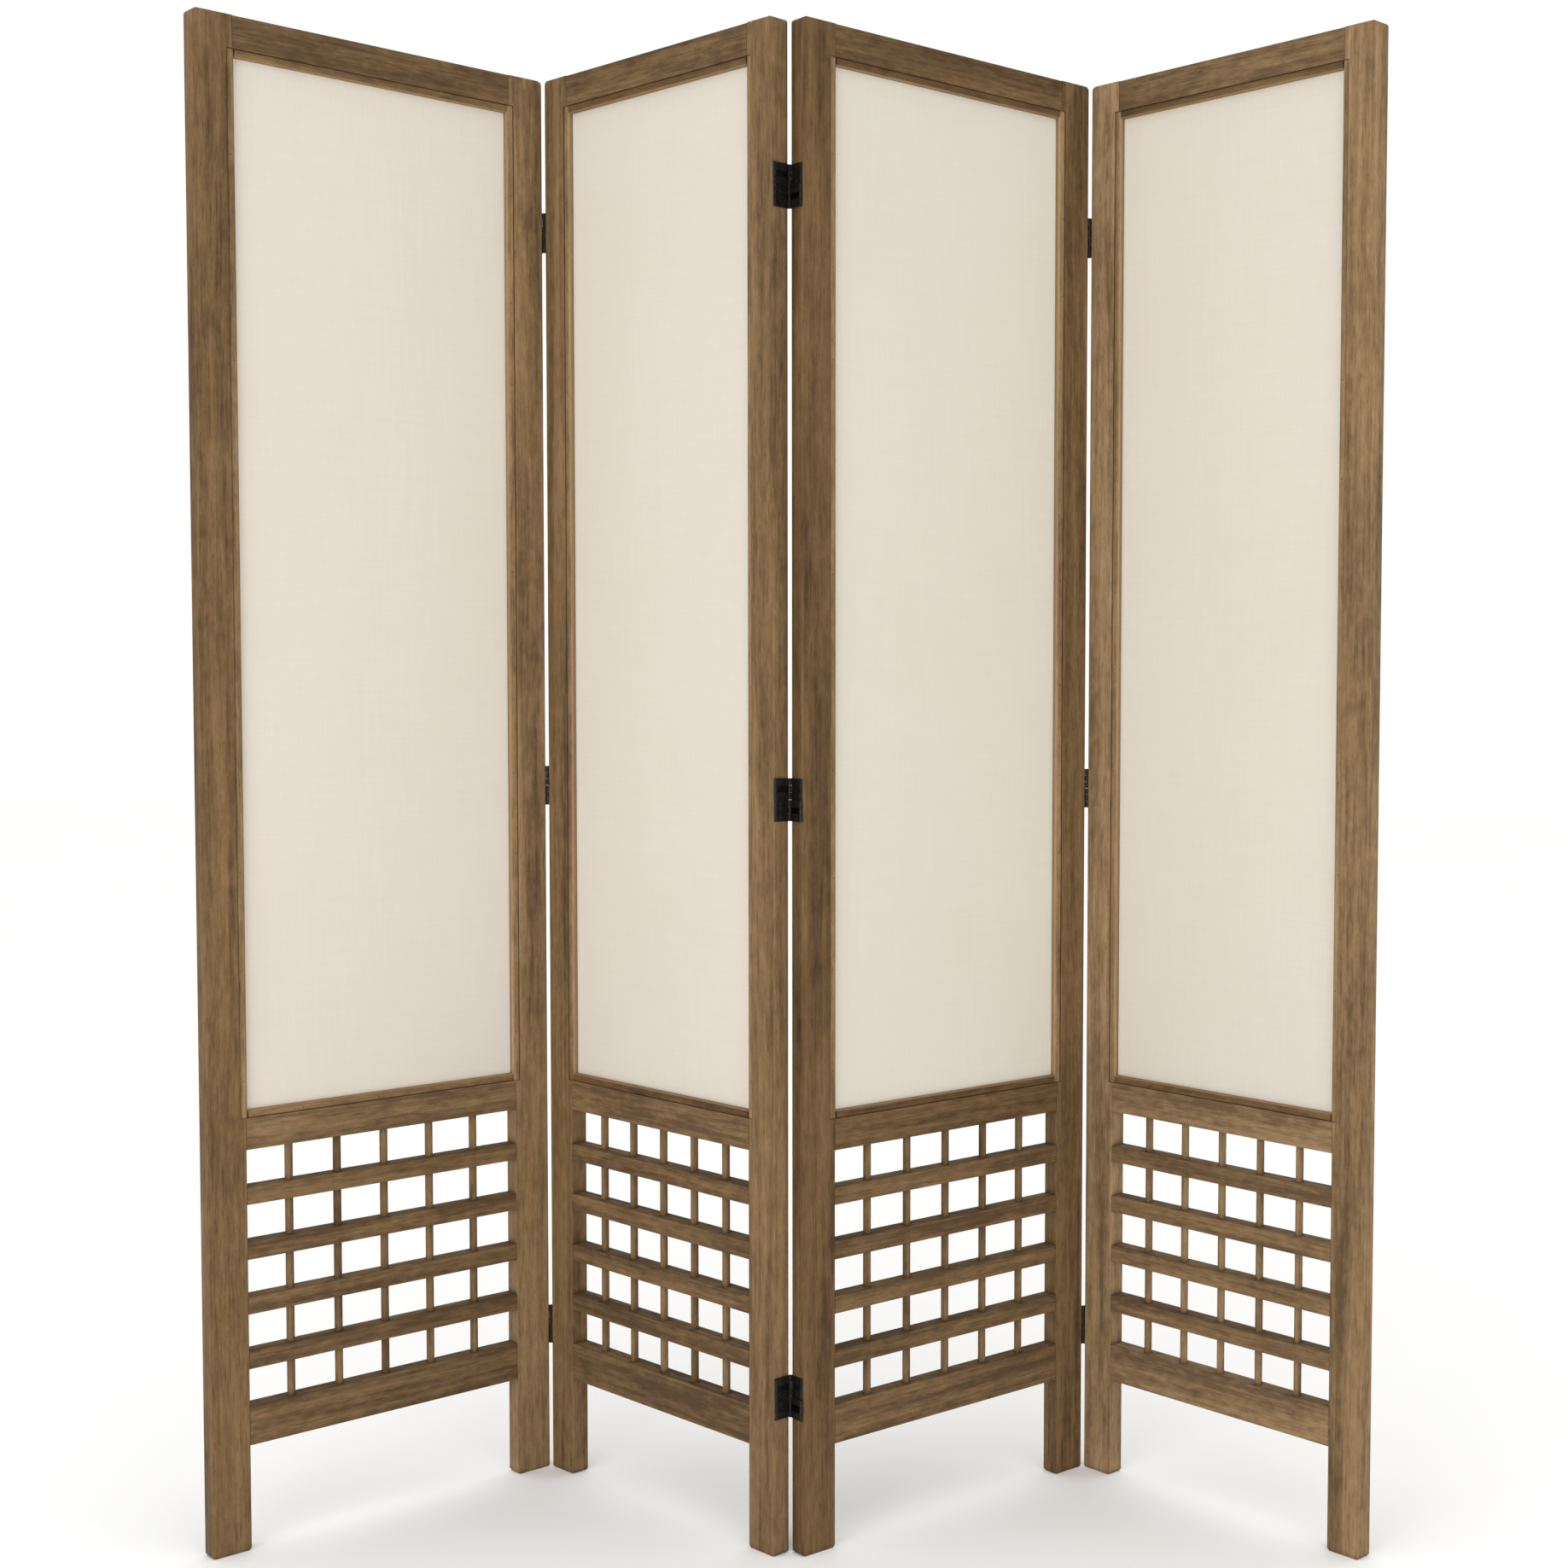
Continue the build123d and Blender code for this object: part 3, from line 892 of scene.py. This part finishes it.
SQUARE = ((0, 0), (0, 1), (1, 1), (1, 0))
PLATE_EASE = 0.12 * MM
BARREL_SIDES = 28
PIN_SIDES = 16
SCREW_SIDES = 20
SCREW_RINGS = ((1.0, 0.0), (0.85, 0.6), (0.45, 0.95))
RECESS_RISE = 0.3
LIP_STEP = 10
LIP_STEPS = 5
HALF_HEIGHT = (HINGE_HEIGHT - HALF_GAP) / 2
KNUCKLE_HEIGHT = (HALF_HEIGHT - 2 * KNUCKLE_GAP) / 3
LOWER_START = -HINGE_HEIGHT / 2
UPPER_START = HALF_GAP / 2


def slab(bm, low, high):
    """A flat plate between two corners, its edges slightly eased."""
    points = {}
    for corner in product((0, 1), repeat=3):
        for facing in range(3):
            place = [(low, high)[end][axis] for axis, end in enumerate(corner)]
            for axis in range(3):
                if axis != facing:
                    place[axis] += PLATE_EASE * (1 - 2 * corner[axis])
            points[corner, facing] = bm.verts.new(place)
        bm.faces.new([points[corner, facing] for facing in range(3)])
    for axis in range(3):
        first, second = (other for other in range(3) if other != axis)
        for ends in SQUARE:
            near, far = (ends[:axis] + (end,) + ends[axis:] for end in (0, 1))
            bm.faces.new((points[near, first], points[far, first],
                          points[far, second], points[near, second]))
        for end in (0, 1):
            bm.faces.new([points[ends[:axis] + (end,) + ends[axis:], axis] for ends in SQUARE])


def knuckle(bm, y, start, row):
    """One knuckle of a half's three rows."""
    low = start + row * (KNUCKLE_HEIGHT + KNUCKLE_GAP)
    high = low + KNUCKLE_HEIGHT
    inner = BARREL_RADIUS - KNUCKLE_EASE
    outline = ((inner, low), (BARREL_RADIUS, low + KNUCKLE_EASE),
               (BARREL_RADIUS, high - KNUCKLE_EASE), (inner, high))
    turned_form(bm, 0, y, outline, BARREL_SIDES)


def leaf_lip(bm, outer, room, top):
    """A thin lip that follows the stile's round edge, with the edge at y = 0."""
    middle = Vector((outer - EASED_EDGE, EASED_EDGE))
    turns = [math.radians(-LIP_STEP * step) for step in range(LIP_STEPS + 1)]
    points = [(outer, room), (outer + LIP_THICKNESS, room)]
    points += [(middle.x + (EASED_EDGE + LIP_THICKNESS) * math.cos(turn),
                middle.y + (EASED_EDGE + LIP_THICKNESS) * math.sin(turn)) for turn in turns]
    points += [(middle.x + EASED_EDGE * math.cos(turn),
                middle.y + EASED_EDGE * math.sin(turn)) for turn in reversed(turns)]
    return prism(bm, points, LOWER_START, top)


def leaf(bm):
    """The left leaf about the hinge centre, with its knuckles, pins and screws."""
    outer = -PANEL_GAP / 2
    inner = outer + LEAF_THICKNESS
    top = UPPER_START + HALF_HEIGHT
    room = BARREL_RADIUS + KNUCKLE_GAP
    slab(bm, (outer, room, LOWER_START), (inner, PANEL_DEPTH - room, top))
    leaf_lip(bm, outer, room, top)
    for vert in leaf_lip(bm, outer, room, top):
        vert.co.y = PANEL_DEPTH - vert.co.y
    for y, edge, start in ((0, room, UPPER_START), (PANEL_DEPTH, PANEL_DEPTH - room, LOWER_START)):
        for row in (0, 2):
            low = start + row * (KNUCKLE_HEIGHT + KNUCKLE_GAP)
            near, far = sorted((y, edge))
            slab(bm, (outer, near, low), (inner, far, low + KNUCKLE_HEIGHT))
            knuckle(bm, y, start, row)
        turned_form(bm, 0, y, ((PIN_RADIUS, start), (PIN_RADIUS, start + HALF_HEIGHT)), PIN_SIDES)
    for row in range(SCREW_ROWS):
        screw_head(bm, inner, (row - (SCREW_ROWS - 1) / 2) * SCREW_PITCH)


def screw_head(bm, x, z):
    """A low domed head with a hollow middle, on the middle line of a leaf."""
    last = None
    for share, rise in SCREW_RINGS:
        radius = SCREW_HEAD * share
        loop = []
        for side in range(SCREW_SIDES):
            angle = 2 * math.pi * side / SCREW_SIDES
            loop.append(bm.verts.new((x + rise * SCREW_DOME,
                                      PANEL_DEPTH / 2 + radius * math.cos(angle),
                                      z + radius * math.sin(angle))))
        if last:
            ring_faces(bm, last, loop)
        last = loop
    middle = bm.verts.new((x + SCREW_DOME * RECESS_RISE, PANEL_DEPTH / 2, z))
    for side in range(SCREW_SIDES):
        bm.faces.new((last[side], last[(side + 1) % SCREW_SIDES], middle))


def link(bm, start):
    """One crossed link of the half that starts at a height."""
    half = LINK_THICKNESS / 2
    clear = BARREL_RADIUS + LINK_RELIEF
    low = start + KNUCKLE_HEIGHT + KNUCKLE_GAP
    slab(bm, (-half, clear, start), (half, PANEL_DEPTH - clear, start + HALF_HEIGHT))
    slab(bm, (-half, 0, low), (half, PANEL_DEPTH, low + KNUCKLE_HEIGHT))
    for y in (0, PANEL_DEPTH):
        knuckle(bm, y, start, 1)


def hinge_piece(name, draw, number, side, half_turn, material):
    """The three copies of one hinge piece on a panel's side, in place of its node."""
    bm = bmesh.new()
    across = side * (PANEL_WIDTH + PANEL_GAP) / 2
    turn = Matrix.Identity(4)
    if half_turn:
        turn = Matrix.Translation((0, PANEL_DEPTH, 0)) @ Matrix.Rotation(math.pi, 4, "Z")
    for height in HINGE_CENTRES:
        one = bmesh.new()
        draw(one)
        one.transform(Matrix.Translation((across, 0, height)) @ turn)
        mesh = bpy.data.meshes.new("hinge_copy")
        one.to_mesh(mesh)
        one.free()
        bm.from_mesh(mesh)
        bpy.data.meshes.remove(mesh)
    bm.transform(panel_matrix(number))
    piece = new_piece(f"fine_{name}", bm, material, f"panel_{number}")
    smooth_by_angle(piece)
    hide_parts(name)


def make_fold(number, material):
    """The hinges of one fold; each link lies along the panel that it stays with."""
    left, right = (number, 1), (number + 1, -1)
    front = FOLD_FACES[number - 1] == "front"
    upper, lower = (right, left) if front else (left, right)
    name = f"fold_{number}"
    hinge_piece(f"{name}_left_leaves", leaf, *left, False, material)
    hinge_piece(f"{name}_right_leaves", leaf, *right, True, material)
    hinge_piece(f"{name}_upper_links", lambda bm: link(bm, UPPER_START), *upper, False, material)
    hinge_piece(f"{name}_lower_links", lambda bm: link(bm, LOWER_START), *lower, False, material)


# Studio


FLOOR_CELLS = 8
FLOOR_REACH = 14
LIGHT_SIZE = 2.4
LIGHT_AIM = (0, 0, 0.7)
KEY_PLACE = (-1.6, -3.4, 0.8)
KEY_POWER = 47
FILL_PLACE = (2.4, -3.0, 0.7)
FILL_POWER = 34
WORLD_SIDE = 0.58
WORLD_ABOVE = 1.55
WORLD_MIRRORED = 0.42


def make_floor():
    """A wide plain floor that isn't part of the screen."""
    bm = bmesh.new()
    bmesh.ops.create_grid(bm, x_segments=FLOOR_CELLS, y_segments=FLOOR_CELLS, size=FLOOR_REACH)
    mesh = bpy.data.meshes.new("floor")
    bm.to_mesh(mesh)
    bm.free()
    floor = bpy.data.objects.new("floor", mesh)
    bpy.context.scene.collection.objects.link(floor)
    mesh.materials.append(pale_floor("floor_pale"))


def soft_light(name, place, power):
    """A large square area light aimed at the screen."""
    light = bpy.data.lights.new(name, "AREA")
    light.shape = "SQUARE"
    light.size = LIGHT_SIZE
    light.energy = power
    lamp = bpy.data.objects.new(name, light)
    lamp.location = place
    aim = Vector(LIGHT_AIM) - Vector(place)
    lamp.rotation_euler = aim.to_track_quat("-Z", "Y").to_euler()
    bpy.context.scene.collection.objects.link(lamp)


def make_world():
    """Even white light, stronger from above, and a white backdrop past the floor."""
    world = bpy.data.worlds.new("studio")
    bpy.context.scene.world = world
    world.use_nodes = True
    tree = world.node_tree
    tree.nodes.clear()
    ray = add(tree, "ShaderNodeSeparateXYZ")
    join(tree, add(tree, "ShaderNodeTexCoord").outputs["Generated"], ray.inputs[0])
    rise = scalar(tree, "MULTIPLY", ray.outputs[2], ray.outputs[2])
    light_path = add(tree, "ShaderNodeLightPath")
    strength = scalar(tree, "MULTIPLY_ADD", rise, WORLD_ABOVE - WORLD_SIDE, WORLD_SIDE)
    glossy = light_path.outputs["Is Glossy Ray"]
    dimmed = scalar(tree, "MULTIPLY_ADD", glossy, WORLD_MIRRORED - 1, 1.0)
    glow = add(tree, "ShaderNodeBackground")
    glow.inputs["Color"].default_value = (1, 1, 1, 1)
    join(tree, scalar(tree, "MULTIPLY", strength, dimmed), glow.inputs["Strength"])
    white = add(tree, "ShaderNodeBackground")
    white.inputs["Strength"].default_value = 1.0
    white.inputs["Color"].default_value = (1, 1, 1, 1)
    mix = add(tree, "ShaderNodeMixShader")
    join(tree, light_path.outputs["Is Camera Ray"], mix.inputs[0])
    join(tree, glow.outputs[0], mix.inputs[1])
    join(tree, white.outputs[0], mix.inputs[2])
    join(tree, mix.outputs[0], add(tree, "ShaderNodeOutputWorld").inputs["Surface"])


def make_camera():
    """The photograph's camera: a nearly level lens off to one side, shifted back to the middle."""
    data = bpy.data.cameras.new("camera")
    data.sensor_width = SENSOR
    data.lens = FOCAL_PIXELS / IMAGE_PIXELS * SENSOR
    data.shift_x = (IMAGE_PIXELS / 2 - CENTRE_PIXEL_X) / IMAGE_PIXELS
    data.shift_y = (CENTRE_PIXEL_Y - IMAGE_PIXELS / 2) / IMAGE_PIXELS
    camera = bpy.data.objects.new("camera", data)
    bpy.context.scene.collection.objects.link(camera)
    bpy.context.scene.camera = camera
    ahead = Vector((0, math.cos(CAMERA_PITCH), math.sin(CAMERA_PITCH)))
    right = Vector((1, 0, 0))
    down = ahead.cross(right)
    across = math.cos(CAMERA_ROLL) * right + math.sin(CAMERA_ROLL) * down
    below = -math.sin(CAMERA_ROLL) * right + math.cos(CAMERA_ROLL) * down
    turn = Matrix((across, -below, -ahead)).transposed().to_4x4()
    pin = frame["joints"][1]["pos_m"]
    place = Vector((pin[0], pin[1], 0)) + CAMERA_FROM_FOLD_2
    camera.matrix_world = Matrix.Translation(place) @ turn


# The scene

CLOTH_TINTS = (
    (1.0, 1.0, 1.0, 1), (1.0, 0.995, 0.985, 1), (0.97, 0.985, 0.965, 1), (1.0, 0.995, 0.98, 1),
)

metal = black_metal("hinge_paint")
filler = dark_hole("brad_filler")
for panel, tint in enumerate(CLOTH_TINTS, start=1):
    finish_wood(panel)
    make_rods(panel)
    make_beads(panel)
    make_sheet(panel, tint)
    make_brads(panel, filler)
for fold in range(1, len(FOLD_FACES) + 1):
    make_fold(fold, metal)
make_floor()
make_world()
soft_light("key", KEY_PLACE, KEY_POWER)
soft_light("fill", FILL_PLACE, FILL_POWER)
make_camera()
bpy.context.scene.view_settings.view_transform = "Standard"
